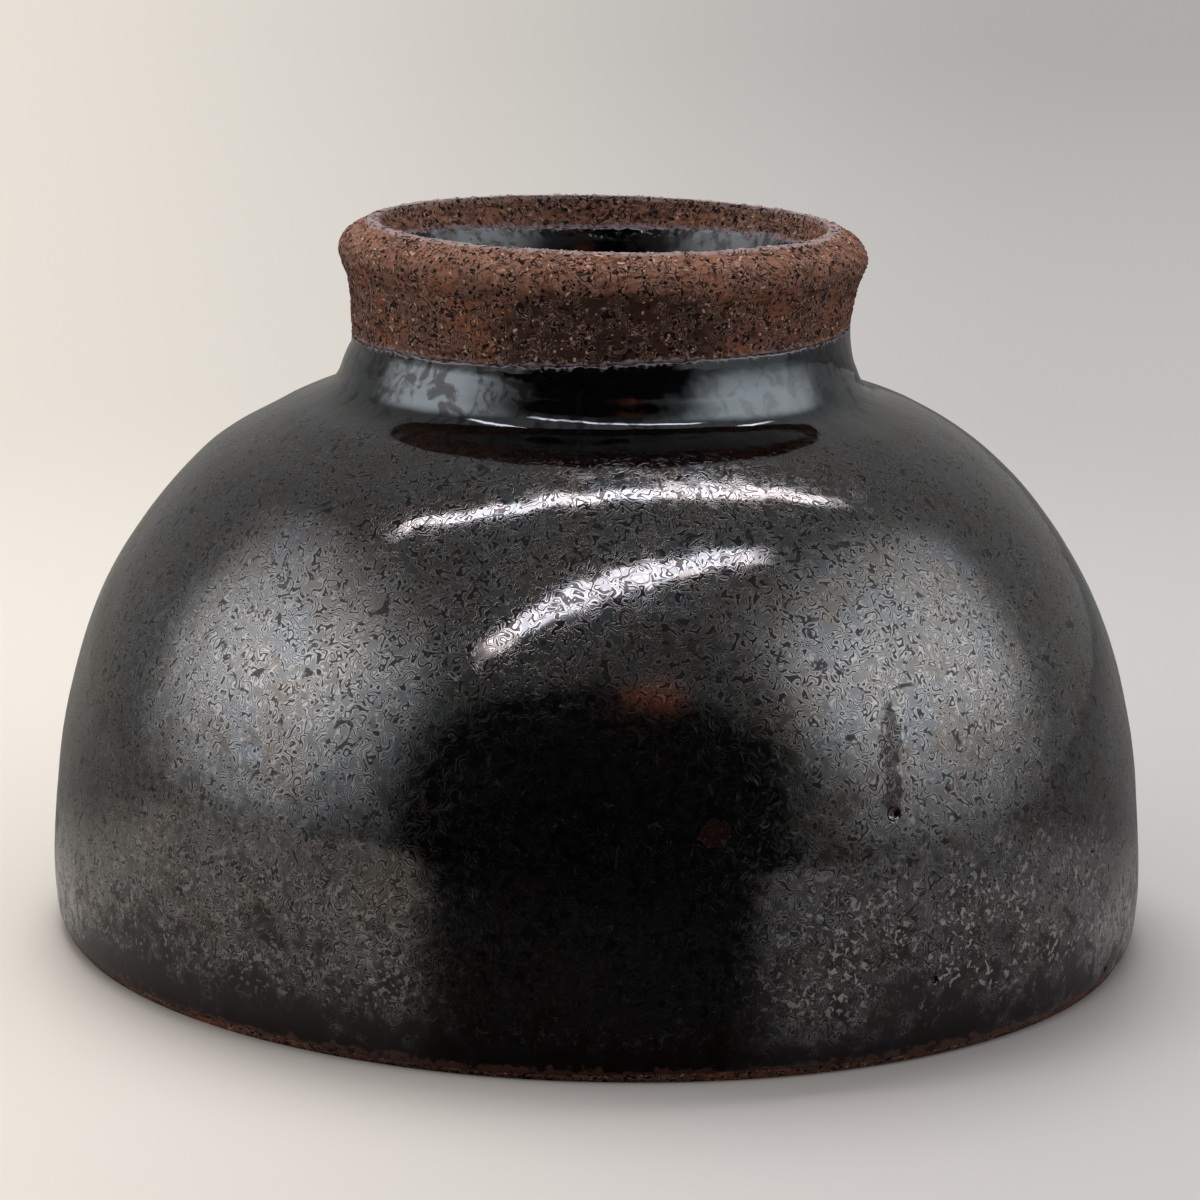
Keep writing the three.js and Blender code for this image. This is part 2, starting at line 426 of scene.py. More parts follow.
@dataclass
class Turner:
    """Turns outlines into pieces, settles them and presses relief into them.

    Attributes:
        form: The bowl's sizes.
        sectors: Equal sectors that a piece is turned in.
    """

    form: BowlForm
    sectors: int = 20

    def turn(self, name: str, outline: Outline, steps: int) -> bpy.types.Object:
        """Draw an outline point by point and spin it into a closed piece.

        Args:
            name: The piece's name.
            outline: What is spun.
            steps: Steps of the full turn.

        Returns:
            The piece.
        """
        bpy.ops.object.select_all(action="DESELECT")
        first = outline.points[0]
        bpy.ops.mesh.primitive_plane_add(size=MM, location=(0, 0, 0))
        piece = bpy.context.object
        piece.name = name
        bpy.ops.object.mode_set(mode="EDIT")
        bpy.ops.mesh.select_mode(type="VERT")
        bpy.ops.mesh.select_all(action="SELECT")
        bpy.ops.mesh.merge(type="CENTER")
        bpy.ops.transform.translate(value=(first[0], 0, first[1]))
        for (radius, height), (next_radius, next_height) in zip(outline.points, outline.points[1:]):
            step = (next_radius - radius, 0, next_height - height)
            bpy.ops.mesh.extrude_vertices_move(TRANSFORM_OT_translate={"value": step})
        sector = 2 * math.pi / self.sectors
        spins = ((steps // self.sectors, sector, False), (self.sectors - 1, 2 * math.pi - sector, True))
        for count, angle, copied in spins:
            bpy.ops.mesh.select_all(action="SELECT")
            bpy.ops.mesh.spin(steps=count, angle=angle, dupli=copied, center=(0, 0, 0), axis=(0, 0, 1))
        bpy.ops.mesh.select_all(action="SELECT")
        bpy.ops.mesh.remove_doubles(threshold=MM / 500)
        bpy.ops.mesh.normals_make_consistent(inside=False)
        bpy.ops.object.mode_set(mode="OBJECT")
        bpy.ops.object.shade_smooth()
        self.mark(piece, outline)
        self.settle(piece)
        return piece

    def places(self, piece: bpy.types.Object) -> np.ndarray:
        """Read the places of a piece's vertices."""
        flat = np.empty(len(piece.data.vertices) * 3, dtype=np.float32)
        piece.data.vertices.foreach_get("co", flat)
        return flat.reshape(-1, 3).astype(float)

    def mark(self, piece: bpy.types.Object, outline: Outline) -> None:
        """Give each vertex the values of the outline's point that it was turned from.

        Args:
            piece: The turned piece.
            outline: Its outline.
        """
        places = self.places(piece)
        turned = np.stack([np.hypot(places[:, 0], places[:, 1]), places[:, 2]], axis=1)
        drawn = np.array(outline.points)
        nearest = np.empty(len(turned), dtype=int)
        for start in range(0, len(turned), BATCH):
            gaps = turned[start:start + BATCH, None, :] - drawn[None, :, :]
            nearest[start:start + BATCH] = (gaps ** 2).sum(axis=2).argmin(axis=1)
        for name, values in outline.marks.items():
            held = np.array(values)[nearest]
            stored = piece.data.attributes.new(name, "FLOAT", "POINT")
            stored.data.foreach_set("value", held.astype(np.float32))
            group = piece.vertex_groups.new(name=name)
            for weight in np.unique(np.round(held, 3)):
                chosen = np.flatnonzero(np.abs(held - weight) < 0.0006)
                group.add(chosen.tolist(), float(weight), "REPLACE")

    def settle(self, piece: bpy.types.Object) -> None:
        """Settle a turned piece as the bowl's form says."""
        moved = self.form.settle(self.places(piece))
        piece.data.vertices.foreach_set("co", moved.astype(np.float32).ravel())
        piece.data.update()

    def press(self, piece: bpy.types.Object, relief: Relief, size: float, depth: float, where: str,
              level: float = 1.0, direction: str = "NORMAL") -> None:
        """Press relief into the part of a piece that an attribute names.

        Args:
            piece: The piece.
            relief: Kind of relief.
            size: Width of its features.
            depth: How deep it goes.
            where: Vertex group that limits it.
            level: Texture value that stays where it is; at 1 nothing is raised.
            direction: Way in which points move.
        """
        texture = bpy.data.textures.new(f"{piece.name}_{relief.name.lower()}", relief.value)
        texture.noise_scale = size
        if relief is Relief.PITS:
            texture.use_color_ramp = True
            for element, position in zip(texture.color_ramp.elements, PIT_RAMP):
                element.position = position
            texture.color_ramp.elements[0].color = (0, 0, 0, 1)
        if relief is Relief.WAVES:
            texture.noise_depth = 2
        push = piece.modifiers.new(relief.name.lower(), "DISPLACE")
        push.texture = texture
        push.texture_coords = "LOCAL"
        push.vertex_group = where
        push.direction = direction
        push.mid_level = level
        push.strength = depth
        bpy.context.view_layer.objects.active = piece
        bpy.ops.object.modifier_apply(modifier=push.name)

    def prick(self, piece: bpy.types.Object, place: Place, width: float, depth: float) -> None:
        """Open a pinhole: finer faces round a place, and a pit pressed into them.

        Args:
            piece: The piece.
            place: Middle of the pinhole, near the surface.
            width: Radius of its mouth.
            depth: How deep it goes.
        """
        middle = Vector(place)
        mesh = piece.data
        nearest = min(mesh.polygons, key=lambda face: (face.center - middle).length)
        inward = -nearest.normal.copy()
        middle = nearest.center.copy()
        bpy.ops.object.select_all(action="DESELECT")
        piece.select_set(True)
        bpy.context.view_layer.objects.active = piece
        for reach in (2.4 * width, 1.5 * width):
            mesh.vertices.foreach_set("select", [False] * len(mesh.vertices))
            mesh.edges.foreach_set("select", [False] * len(mesh.edges))
            chosen = [(face.center - middle).length < reach and face.normal.dot(inward) < 0
                      for face in mesh.polygons]
            mesh.polygons.foreach_set("select", chosen)
            bpy.ops.object.mode_set(mode="EDIT")
            bpy.ops.mesh.select_mode(type="FACE")
            bpy.ops.mesh.subdivide(number_cuts=2)
            bpy.ops.object.mode_set(mode="OBJECT")
        places = self.places(piece)
        away = np.linalg.norm(places - np.array(middle), axis=1)
        normals = np.empty(len(mesh.vertices) * 3, dtype=np.float32)
        mesh.vertices.foreach_get("normal", normals)
        outer = normals.reshape(-1, 3) @ np.array(inward) < 0
        share = np.clip(1 - away / width, 0, 1) * outer
        places += np.outer(depth * np.sqrt(1 - (1 - share) ** 2) * (share > 0), np.array(inward))
        mesh.vertices.foreach_set("co", places.astype(np.float32).ravel())
        mesh.update()


class Nodes:
    """Short calls for building the nodes of a material, a lamp or the world."""

    def __init__(self, owner: bpy.types.ID, shader: str = "Principled BSDF") -> None:
        """Start with what has the nodes.

        Args:
            owner: The material, the lamp's data or the world.
            shader: Name of its own shader.
        """
        owner.use_nodes = True
        self.owner = owner
        self.tree = owner.node_tree
        self.shader = self.tree.nodes[shader]
        self.coordinates = self.add("ShaderNodeTexCoord")
        self.place = self.coordinates.outputs["Object"]

    def add(self, kind: str, **settings: object) -> bpy.types.ShaderNode:
        """Add a node and set its properties."""
        node = self.tree.nodes.new(kind)
        for name, value in settings.items():
            setattr(node, name, value)
        return node

    def link(self, source: Socket, target: Socket) -> None:
        """Join two sockets."""
        self.tree.links.new(source, target)

    def feed(self, socket: Socket, value: object) -> None:
        """Link a socket to another, or set it to a plain value."""
        if isinstance(value, Socket):
            self.link(value, socket)
        else:
            socket.default_value = value

    def dress(self, values: dict[str, object]) -> None:
        """Feed the shader's own sockets by their names."""
        for name, value in values.items():
            self.feed(self.shader.inputs[name], value)

    def noise(self, scale: float, detail: float = 3.0, distortion: float = 0.0,
              place: Socket | None = None, output: str = "Fac") -> Socket:
        """Add a noise of so many features a metre.

        Args:
            scale: Features a metre.
            detail: Octaves of finer noise.
            distortion: How far it is stirred.
            place: Coordinates, the object's own where none are given.
            output: Name of the output that is read.

        Returns:
            The noise.
        """
        node = self.add("ShaderNodeTexNoise")
        self.link(place or self.place, node.inputs["Vector"])
        node.inputs["Scale"].default_value = scale
        node.inputs["Detail"].default_value = detail
        node.inputs["Distortion"].default_value = distortion
        return node.outputs[output]

    def cells(self, scale: float) -> Socket:
        """Add a pattern of cells and give the distance in it."""
        node = self.add("ShaderNodeTexVoronoi")
        self.link(self.place, node.inputs["Vector"])
        node.inputs["Scale"].default_value = scale
        return node.outputs["Distance"]

    def math(self, operation: str, first: object, second: object = 0.0) -> Socket:
        """Add one sum of two values."""
        node = self.add("ShaderNodeMath", operation=operation)
        self.feed(node.inputs[0], first)
        self.feed(node.inputs[1], second)
        return node.outputs["Value"]

    def chain(self, operation: str, values: tuple) -> Socket:
        """Join any number of values by one operation."""
        joined = values[0]
        for value in values[1:]:
            joined = self.math(operation, joined, value)
        return joined

    def product(self, *values: object) -> Socket:
        """Multiply values."""
        return self.chain("MULTIPLY", values)

    def total(self, *values: object) -> Socket:
        """Add values."""
        return self.chain("ADD", values)

    def most(self, *values: object) -> Socket:
        """Take the greatest of some values."""
        return self.chain("MAXIMUM", values)

    def less(self, value: Socket) -> Socket:
        """Take a value from one."""
        return self.math("SUBTRACT", 1.0, value)

    def sway(self, noise: Socket, reach: float) -> Socket:
        """Swing a noise about nought, as far as the reach to each side."""
        return self.math("MULTIPLY", self.math("SUBTRACT", noise, 0.5), 2 * reach)

    def waves(self, scale: float, folds: float, detail: float = 0.0) -> Socket:
        """Fold a stirred noise over and over, which gives even curls."""
        return self.math("PINGPONG", self.product(self.noise(scale, detail, 1.0), folds), 0.5)

    def step(self, value: Socket, low: float, high: float, start: float = 0.0,
             end: float = 1.0) -> Socket:
        """Map a value's stretch from low to high smoothly to another stretch."""
        node = self.add("ShaderNodeMapRange", interpolation_type="SMOOTHSTEP")
        self.link(value, node.inputs["Value"])
        for name, given in (("From Min", low), ("From Max", high), ("To Min", start), ("To Max", end)):
            node.inputs[name].default_value = given
        return node.outputs["Result"]

    def band(self, value: Socket, rise: Point, drop: Point) -> Socket:
        """Mark a band of a value, which comes over one stretch and goes over another."""
        return self.product(self.step(value, *rise), self.step(value, *drop, 1.0, 0.0))

    def mix(self, share: object, first: object, second: object) -> Socket:
        """Mix two colours by a share."""
        node = self.add("ShaderNodeMix", data_type="RGBA")
        self.feed(node.inputs[0], share)
        self.feed(node.inputs[6], first)
        self.feed(node.inputs[7], second)
        return node.outputs[2]

    def carried(self, name: str) -> Socket:
        """Read a value that the piece's surface carries."""
        return self.add("ShaderNodeAttribute", attribute_name=name).outputs["Fac"]

    def stretched(self, across: float, up: float) -> Socket:
        """Scale the object's coordinates across and up."""
        node = self.add("ShaderNodeMapping")
        self.link(self.place, node.inputs["Vector"])
        node.inputs["Scale"].default_value = (across, across, up)
        return node.outputs["Vector"]

    def apart(self, vector: Socket) -> list[Socket]:
        """Split a vector into its three parts."""
        node = self.add("ShaderNodeSeparateXYZ")
        self.link(vector, node.inputs[0])
        return list(node.outputs)

    def height(self) -> Socket:
        """Read the height in metres."""
        return self.apart(self.place)[2]

    def vector(self, operation: str, *values: object) -> Socket:
        """Add one sum of vectors, and give its value where it has one."""
        node = self.add("ShaderNodeVectorMath", operation=operation)
        for socket, value in zip(node.inputs, values):
            self.feed(socket, value)
        return node.outputs["Value" if operation in ("LENGTH", "DOT_PRODUCT") else "Vector"]

    def patch(self, middle: Place, half: Place,
              fray: float = 0.0) -> Socket:
        """Mark an egg-shaped place on the surface.

        Args:
            middle: Its middle.
            half: Its half sizes along X, Y and Z.
            fray: How far its edge is stirred.

        Returns:
            One inside, nought outside.
        """
        place = self.place
        if fray:
            stir = self.noise(900.0, 2.0, output="Color")
            place = self.vector("MULTIPLY_ADD", stir, (2 * fray,) * 3, self.place)
        away = self.vector("SUBTRACT", place, tuple(value + fray for value in middle))
        return self.step(self.vector("LENGTH", self.vector("DIVIDE", away, half)), 0.75, 1.1, 1.0, 0.0)

    def bump(self, height: Socket, depth: float, strength: float,
             below: Socket | None = None) -> Socket:
        """Add a bump of a real depth, over another where one is given."""
        node = self.add("ShaderNodeBump")
        self.link(height, node.inputs["Height"])
        node.inputs["Distance"].default_value = depth
        node.inputs["Strength"].default_value = strength
        if below is not None:
            self.link(below, node.inputs["Normal"])
        return node.outputs["Normal"]


@dataclass(frozen=True)
class IronGlaze:
    """Dark iron glaze: a glossy plum-black depth under a silvery curled film that thins towards the lip.

    Attributes:
        name: Name of the material.
        deep: Colour of the clear depth.
        rust: Colour where the glaze breaks brown at the lip.
        blush: Colour of a red-brown spot at the front.
        film: Colour of the silvery film.
        cool: Colour of its bluish clouds.
        warm: Colour of its brownish clouds.
        crystal: Colour of pale crystals.
        still: Colour of the smooth, thick glaze at the neck.
        edge: Pale colour of the glaze's thin edge on the foot.
        film_low: Height under which there is no film.
        film_high: Height over which it is whole.
        neck: Height over which the glaze is thick and smooth.
    """

    name: str = "iron_glaze"
    deep: Colour = (0.0060, 0.0030, 0.0034, 1.0)
    rust: Colour = (0.075, 0.036, 0.027, 1.0)
    blush: Colour = (0.0135, 0.0050, 0.0046, 1.0)
    film: Colour = (0.128, 0.126, 0.128, 1.0)
    cool: Colour = (0.112, 0.128, 0.146, 1.0)
    warm: Colour = (0.118, 0.105, 0.093, 1.0)
    crystal: Colour = (0.330, 0.322, 0.322, 1.0)
    still: Colour = (0.108, 0.126, 0.140, 1.0)
    edge: Colour = (0.270, 0.220, 0.250, 1.0)
    film_low: float = 1.0 * MM
    film_high: float = 38.0 * MM
    neck: float = 60.0 * MM

    def curls(self, nodes: Nodes) -> tuple[Socket, Socket]:
        """Draw the film's fine curls.

        Args:
            nodes: The material in making.

        Returns:
            The dark lines, and the pale strokes beside them.
        """
        waves = nodes.waves(760.0, 4.8)
        gaps = nodes.noise(880.0, 1.0)
        crazed = nodes.patch((0.0, -46 * MM, 47 * MM), (38 * MM, 22 * MM, 12 * MM), 5 * MM)
        line = nodes.math("SUBTRACT", waves, nodes.product(crazed, 0.07))
        dark = nodes.product(nodes.step(line, 0.06, 0.14, 1.0, 0.0), nodes.step(gaps, 0.34, 0.46))
        stroke = nodes.band(waves, (0.15, 0.22), (0.32, 0.42))
        return dark, nodes.product(stroke, nodes.step(gaps, 0.30, 0.48))

    def specks(self, nodes: Nodes, height: Socket) -> Socket:
        """Scatter pale crystals low on the wall, most of them at the right of the front."""
        grown = nodes.band(height, (3 * MM, 9 * MM), (16 * MM, 28 * MM))
        thick = nodes.patch((44 * MM, -40 * MM, 16 * MM), (34 * MM, 34 * MM, 24 * MM), 2 * MM)
        share = nodes.total(0.4, nodes.product(thick, 0.6))
        dots = nodes.step(nodes.noise(1500.0, 1.0, 0.6), 0.59, 0.64)
        return nodes.product(dots, grown, share, nodes.step(nodes.noise(220.0, 2.0), 0.34, 0.56))

    def trail(self, nodes: Nodes) -> Socket:
        """Burn the film away in a ragged trail over the front pinhole."""
        upper = nodes.patch((29.2 * MM, -49.2 * MM, 33.0 * MM), (1.0 * MM, 3 * MM, 6.0 * MM), 1.4 * MM)
        lower = nodes.patch((29.5 * MM, -50.4 * MM, 28.2 * MM), (1.2 * MM, 3 * MM, 2.8 * MM), 0.8 * MM)
        return nodes.product(nodes.most(upper, lower), 0.95)

    def pools(self, nodes: Nodes, stain: Socket) -> Socket:
        """Mottle the thick glaze at the neck, calmer at the right and dim in the recess."""
        mottles = nodes.total(nodes.noise(460.0, 4.0, 0.9), nodes.sway(stain, 0.12))
        calm = nodes.patch((17 * MM, -24 * MM, 62 * MM), (15 * MM, 15 * MM, 9 * MM), 3 * MM)
        inside = nodes.patch((0.0, 0.0, 70 * MM), (26.5 * MM, 26.5 * MM, 18 * MM), 0.2 * MM)
        calm = nodes.product(calm, nodes.step(mottles, 0.50, 0.64, 1.0, 0.7))
        film = nodes.most(nodes.step(mottles, 0.44, 0.60, 0.8, 0.15), calm)
        return nodes.product(film, nodes.less(nodes.product(inside, 0.84)))

    def tint(self, nodes: Nodes, stain: Socket) -> Socket:
        """Cloud the film with bluish and brownish patches."""
        streaks = nodes.sway(stain, 0.3)
        haze = nodes.total(nodes.noise(120.0, 4.0), streaks)
        tint = nodes.mix(nodes.step(haze, 0.36, 0.62), self.cool, self.film)
        clouds = nodes.math("SUBTRACT", nodes.noise(140.0, 4.0), streaks)
        return nodes.mix(nodes.step(clouds, 0.44, 0.66), tint, self.warm)

    def depth(self, nodes: Nodes, spot: Socket) -> Socket:
        """Colour the depth, which breaks brown in a ragged line at the lip."""
        ragged = nodes.sway(nodes.noise(900.0, 4.0), 0.4)
        brown = nodes.step(nodes.total(nodes.carried("near_lip"), ragged), 0.76, 0.90)
        return nodes.mix(spot, nodes.mix(brown, self.deep, self.rust), self.blush)

    def material(self) -> bpy.types.Material:
        """Build the node material.

        Returns:
            The glaze material.
        """
        nodes = Nodes(bpy.data.materials.new(self.name))
        height = nodes.height()
        neck = nodes.step(height, self.neck - 2 * MM, self.neck + 1 * MM)
        below = nodes.less(neck)
        stain = nodes.noise(420.0, 3.0, 0.8)
        drift = nodes.sway(nodes.noise(90.0, 3.0, 0.8), 14 * MM)
        level = nodes.total(height, drift, nodes.sway(stain, 15 * MM))
        dark, pale = self.curls(nodes)
        pale = nodes.product(pale, below, nodes.step(level, 0.0, 14 * MM),
                             nodes.step(height, 38 * MM, 48 * MM, 1.0, 0.60))
        blots = nodes.total(nodes.noise(330.0, 4.0, 2.2), nodes.sway(stain, 0.15))
        spot = nodes.patch((11.6 * MM, -57.9 * MM, 25.4 * MM), (1.8 * MM,) * 3, 1.0 * MM)
        lost = nodes.most(nodes.product(dark, 0.92), nodes.product(nodes.step(blots, 0.63, 0.69), 0.9),
                          nodes.product(self.trail(nodes), nodes.less(nodes.product(pale, 0.4))), spot)
        cover = nodes.product(nodes.step(level, self.film_low, self.film_high), below)
        pools = nodes.product(neck, self.pools(nodes, stain))
        strength = nodes.most(cover, pools, nodes.product(pale, 0.6))
        strength = nodes.product(strength, nodes.less(nodes.product(lost, below)))
        tint = nodes.mix(neck, self.tint(nodes, stain), self.still)
        tint = nodes.mix(nodes.product(pale, 0.80), tint, self.crystal)
        body = nodes.mix(nodes.math("MINIMUM", strength, 1.0), self.depth(nodes, spot), tint)
        specks = self.specks(nodes, height)
        body = nodes.mix(specks, body, self.crystal)
        frayed = nodes.sway(nodes.noise(1700.0, 3.0), 0.45)
        rim = nodes.step(nodes.total(nodes.carried("near_line"), frayed), 0.78, 1.05)
        metal = nodes.step(nodes.most(strength, specks), 0.0, 0.2)
        dull = nodes.total(0.07, nodes.product(specks, 0.2))
        relief = nodes.math("SUBTRACT", nodes.product(pale, 0.5), nodes.product(dark, below))
        peel = nodes.bump(nodes.noise(300.0, 1.0), 0.014 * MM, 0.5)
        nodes.dress({
            "Base Color": nodes.mix(rim, body, self.edge),
            "Metallic": nodes.product(metal, nodes.less(rim)),
            "Roughness": nodes.most(dull, nodes.product(rim, 0.7)),
            "Specular IOR Level": 0.0,
            "Normal": nodes.bump(relief, 0.003 * MM, 0.8, peel),
            "Coat Normal": nodes.bump(relief, 0.006 * MM, 0.8, peel),
            "Coat Weight": 0.65,
            "Coat Roughness": 0.04,
        })
        return nodes.owner


@dataclass(frozen=True)
class BareClay:
    """Coarse iron-bearing stoneware, fired red-brown, with open pits, curled ridges and bright grains.

    Attributes:
        name: Name of the material.
        dark: Near-black colour painted into pits and creases as their shade.
        body: Colour of the fired clay.
        rust: Colour of its redder clouds.
        smoke_and_shade: Colour of smoky, darkened clay, and also of the painted shade on the front that faces
            the camera.
        ridge: Colour of worn ridges.
        grain: Colour of single grains.
        bevel: Colour of the lighter band round the crest.
        bevel_height: Height over which that band lies.
        crest: Colour of the painted highlight on the crest and along its inner edge.
        pale: Colour of the glaze's pale flecks.
    """

    name: str = "bare_clay"
    dark: Colour = (0.0045, 0.0020, 0.0016, 1.0)
    body: Colour = (0.178, 0.084, 0.062, 1.0)
    rust: Colour = (0.250, 0.092, 0.048, 1.0)
    smoke_and_shade: Colour = (0.028, 0.0110, 0.0090, 1.0)
    ridge: Colour = (0.385, 0.235, 0.180, 1.0)
    grain: Colour = (0.560, 0.390, 0.280, 1.0)
    bevel: Colour = (0.290, 0.138, 0.090, 1.0)
    bevel_height: float = 74.6 * MM
    crest: Colour = (0.360, 0.270, 0.260, 1.0)
    pale: Colour = (0.300, 0.235, 0.260, 1.0)

    def fired(self, nodes: Nodes, grit: Socket) -> Socket:
        """Colour the clay: redder clouds, drag lines, painted shade on the front that faces the camera, and a
        lighter band round the crest.
        """
        clouds = nodes.noise(150.0, 3.0, 0.6)
        drag = nodes.noise(240.0, 3.0, 0.4, nodes.stretched(1.0, 8.0))
        tone = nodes.total(grit, nodes.sway(drag, 0.45))
        body = nodes.mix(nodes.step(clouds, 0.44, 0.62), self.body, self.rust)
        body = nodes.mix(nodes.step(tone, 0.30, 0.58, 0.20, 1.0), self.smoke_and_shade, body)
        # Painted shade: the front that faces the camera is darkened here, standing in for the shade that the
        # side lamps leave on it.
        painted_front_shade = nodes.patch((0.0, -29 * MM, 69 * MM), (15 * MM, 8 * MM, 7 * MM), 1.5 * MM)
        body = nodes.mix(nodes.product(painted_front_shade, 0.86), body, self.smoke_and_shade)
        rise = nodes.total(nodes.height(), nodes.product(clouds, 1.4 * MM))
        band = nodes.step(rise, self.bevel_height, self.bevel_height + 1.6 * MM)
        return nodes.mix(nodes.product(band, nodes.step(tone, 0.34, 0.58, 0.15, 0.85)), body, self.bevel)

    def material(self) -> bpy.types.Material:
        """Build the node material.

        Returns:
            The clay material.
        """
        nodes = Nodes(bpy.data.materials.new(self.name))
        grit = nodes.noise(1500.0, 4.0, 0.5)
        waves = nodes.waves(760.0, 5.0, 1.0)
        gaps = nodes.noise(700.0, 1.0)
        creases = nodes.product(nodes.step(waves, 0.08, 0.18, 1.0, 0.0), nodes.step(gaps, 0.36, 0.48))
        ridges = nodes.product(nodes.band(waves, (0.17, 0.23), (0.28, 0.38)), nodes.step(gaps, 0.40, 0.54))
        holes = nodes.step(nodes.cells(820.0), 0.15, 0.21, 1.0, 0.0)
        pits = nodes.most(holes, nodes.step(nodes.noise(900.0, 2.0, 0.6), 0.29, 0.35, 1.0, 0.0))
        body = nodes.mix(nodes.product(ridges, 0.70), self.fired(nodes, grit), self.ridge)
        # Painted highlight: the crest's land and inner edge are painted pale where light catches them.
        worn = nodes.total(nodes.carried("crest_edge"), nodes.sway(grit, 0.5))
        body = nodes.mix(nodes.step(worn, 0.20, 0.70, 0.0, 0.85), body, self.crest)
        body = nodes.mix(nodes.step(nodes.noise(1900.0, 0.0), 0.74, 0.78), body, self.grain)
        # Painted shade: pits and creases are darkened almost to black for the shade that falls in them.
        body = nodes.mix(nodes.most(pits, nodes.product(creases, 0.95)), body, self.dark)
        frayed = nodes.sway(nodes.noise(1400.0, 3.0), 0.75)
        flecks = nodes.step(nodes.total(nodes.carried("near_line"), frayed), 0.80, 1.05)
        raised = nodes.total(grit, nodes.product(nodes.math("SUBTRACT", ridges, creases), 0.4))
        rough = nodes.bump(raised, 0.08 * MM, 0.9)
        nodes.dress({
            "Base Color": nodes.mix(flecks, body, self.pale),
            "Roughness": 0.78,
            "Specular IOR Level": 0.25,
            "Normal": nodes.bump(pits, -0.14 * MM, 0.8, rough),
        })
        return nodes.owner


@dataclass
class Work:
    """What the work on every piece shares.

    Attributes:
        turner: What turns the pieces.
        lip_reach: How far from the lip the glaze breaks brown.
        still: How far from its edges the glaze begins to flow.
    """

    turner: Turner
    lip_reach: float = 5.0 * MM
    still: float = 3.0 * MM

    def fray(self, coat: bpy.types.Object) -> None:
        """Fray a coat's edge up and down."""
        self.turner.press(coat, Relief.WAVES, 1.1 * MM, 0.7 * MM, "frayed", 0.7, "Z")


@dataclass
class FootRing(Work):
    """The splayed foot ring with its open, gritty clay.

    Attributes:
        columns: Steps of the full turn.
        cell: Height of a row where the clay shows.
        outside_run: Length of the ring's outside, as a share of its rise.
        inside_run: Length of its inside.
        reliefs: Kind, width, depth and resting level of each relief in the clay.
        lap: How far clay is kept fine under the glaze's edge, and flecked over it.
        inner_flecks: How far over the recess's line there are flecks.
        highlight_outside: How far down the crest's outside its painted highlight reaches.
        highlight_inside: How far down its inside the painted highlight reaches.
    """

    columns: int = 800
    cell: float = 0.22 * MM
    outside_run: float = 1.35
    inside_run: float = 1.2
    reliefs: tuple = (
        (Relief.WAVES, 5.0 * MM, 0.24 * MM, 0.5),
        (Relief.GRAINS, 1.0 * MM, 0.035 * MM, 0.5),
        (Relief.PITS, 0.6 * MM, 0.13 * MM, 1.0),
    )
    lap: float = 1.6 * MM
    inner_flecks: float = 1.4 * MM
    highlight_outside: float = 0.35 * MM
    highlight_inside: float = 0.9 * MM

    def build(self) -> bpy.types.Object:
        """Turn the ring, press grit and pits into its bare clay.

        Returns:
            The piece.
        """
        form = self.turner.form
        rise = form.crest_height - form.body_height
        outside = form.foot(int(self.outside_run * rise / self.cell))
        coated = between(outside, form.body_height, form.foot_line)
        coat = form.coat(coated, False, True, True)
        hidden = between(outside, form.body_height, form.foot_line - self.lap)
        under = thinned(sunk(hidden, np.interp(heights_of(hidden), heights_of(coated), coat)), 4)
        under[0] = (under[0][0], form.body_height)
        shown = between(outside, form.foot_line - self.lap, form.crest_height)[1:]
        rows = heights_of(shown)
        lapped = np.interp(rows, heights_of(coated), coat, right=0.0)
        shown = sunk(shown, np.where(rows < form.foot_line, lapped, 0.0))
        recess = form.recess(int(self.inside_run * rise / self.cell))
        bare_end = first_under(recess, form.recess_line - self.lap)
        inner, wall = recess[:bare_end], recess[bare_end:]
        wall = thinned(sunk(wall, form.coat(wall, False, False)), 6)
        wall[-1] = (wall[-1][0], form.body_height)
        outline = Outline()
        outline.add([wall[-1]], bare=0.0, near_line=0.0, crest_edge=0.0)
        outline.add(under, bare=0.0, near_line=0.0)
        above = nearness(rows - form.foot_line, self.lap) * (rows > form.foot_line - self.lap)
        # Painted highlight: crest_edge marks how near the crest the clay is painted pale, on the outside here
        # and on the inside below.
        worn = nearness(form.crest_height - rows, self.highlight_outside)
        outline.add(shown, bare=1.0, near_line=above, crest_edge=worn)
        below = nearness(heights_of(inner) - form.recess_line, self.inner_flecks)
        worn = nearness(run_length(inner), self.highlight_inside)
        outline.add(inner, bare=1.0, near_line=below, crest_edge=worn)
        outline.add(wall, bare=0.0, near_line=0.0)
        ring = self.turner.turn("foot_ring_clay", outline, self.columns)
        for relief, width, depth, level in self.reliefs:
            self.turner.press(ring, relief, width, depth, "bare", level)
        return ring


@dataclass
class BowlBody(Work):
    """The thrown body, of which only the lip's bare edge shows.

    Attributes:
        columns: Steps of the full turn.
        rows: Rows of the outside, and of the well.
    """

    columns: int = 480
    rows: int = 240

    def build(self) -> bpy.types.Object:
        """Turn the body under its coats.

        Returns:
            The piece.
        """
        form = self.turner.form
        wall = form.wall(self.rows)
        coated = between(wall, form.lip_bare, form.body_height)
        lip = between(wall, 0.0, form.lip_bare)
        outer = thinned(sunk(coated, form.coat(coated, True, False, True)), 6)
        outer[-1] = (outer[-1][0], form.body_height)
        well = form.well(self.rows)
        edge = first_under(well, form.lip_bare)
        inner = thinned(sunk(well[:edge], form.coat(well[:edge], False, True)), 6)
        inner[0] = (0.0, inner[0][1])
        outline = Outline()
        outline.add(inner, bare=0.0)
        outline.add(well[edge:], bare=1.0)
        outline.add(lip, bare=1.0)
        outline.add(outer, bare=0.0)
        outline.add([(0.0, form.body_height)], bare=0.0)
        return self.turner.turn("bowl_body_clay", outline, self.columns)


